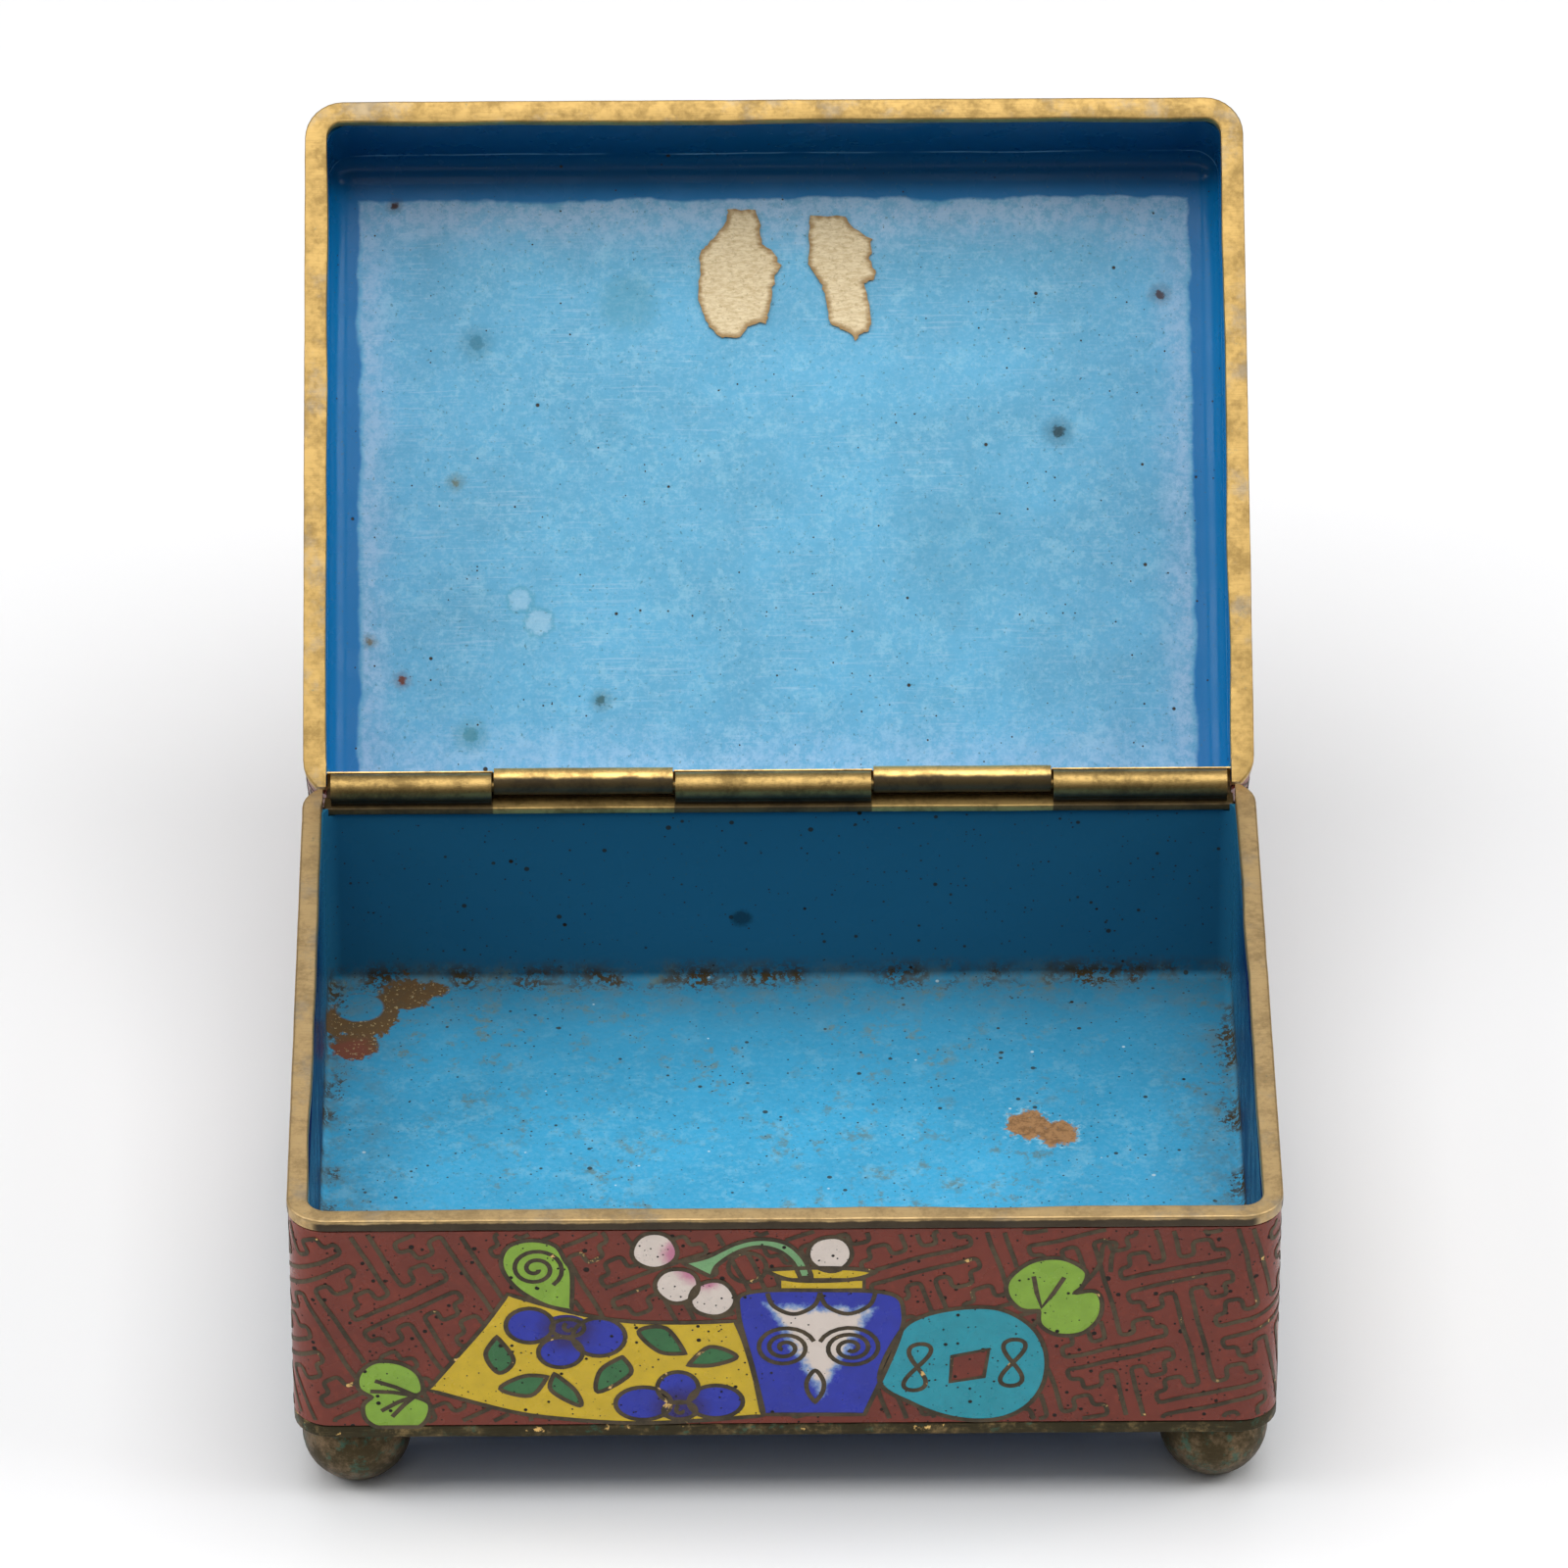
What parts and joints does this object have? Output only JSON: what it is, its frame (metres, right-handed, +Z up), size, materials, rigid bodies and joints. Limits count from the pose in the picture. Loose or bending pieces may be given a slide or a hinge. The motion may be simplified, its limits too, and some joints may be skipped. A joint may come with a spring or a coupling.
{
  "type": "hinged enamel box",
  "caption": "Rectangular cloisonné enamel box with a tube-hinged lid standing open, blue enamel inside, gilt bronze rims and ball feet.",
  "frame": {"origin": "on the table, under the middle of the open box's bounding box", "axes": "+Z up, +X along the hinge to the right as seen from the front, +Y towards the back, where the open lid leans"},
  "size_m": [0.1204, 0.1734, 0.1019],
  "materials": {
    "red_enamel": "glossy fired enamel with fine pits, brick red with wire fret and coloured motifs",
    "blue_enamel": "glossy fired counter-enamel, turquoise blue, worn and stained",
    "gilt_bronze": "rubbed gilding over bronze, file marks, brown tarnish",
    "dark_bronze": "dark brown patina, semi-matt",
    "copper_tray": "hammered copper sheet under the enamel",
    "old_paper": "aged cream paper, torn, matt"
  },
  "bodies": {
    "base": {"base_shell": "copper_tray", "base_lining": "blue_enamel", "base_wall_enamel": "red_enamel", "base_underside_enamel": "blue_enamel", "base_rim": "gilt_bronze", "base_foot_band": "gilt_bronze", "base_hinge_strip": "gilt_bronze", "base_knuckle_left": "gilt_bronze", "base_knuckle_centre": "gilt_bronze", "base_knuckle_right": "gilt_bronze", "hinge_pin": "gilt_bronze", "foot_front_left": "dark_bronze", "foot_front_right": "dark_bronze", "foot_back_left": "dark_bronze", "foot_back_right": "dark_bronze"},
    "lid": {"lid_shell": "copper_tray", "lid_lining": "blue_enamel", "lid_wall_enamel": "red_enamel", "lid_top_enamel": "red_enamel", "lid_rim": "gilt_bronze", "lid_top_band": "gilt_bronze", "lid_hinge_strip": "gilt_bronze", "lid_knuckle_left": "gilt_bronze", "lid_knuckle_right": "gilt_bronze", "label_remnant_left": "old_paper", "label_remnant_right": "old_paper"}
  },
  "joints": [
    {"name": "lid_hinge", "type": "hinge", "parent": "base", "child": "lid", "pos_m": [0, 0.00455, 0.04343], "axis": [1, 0, 0], "range_deg": [0, 140]}
  ]
}
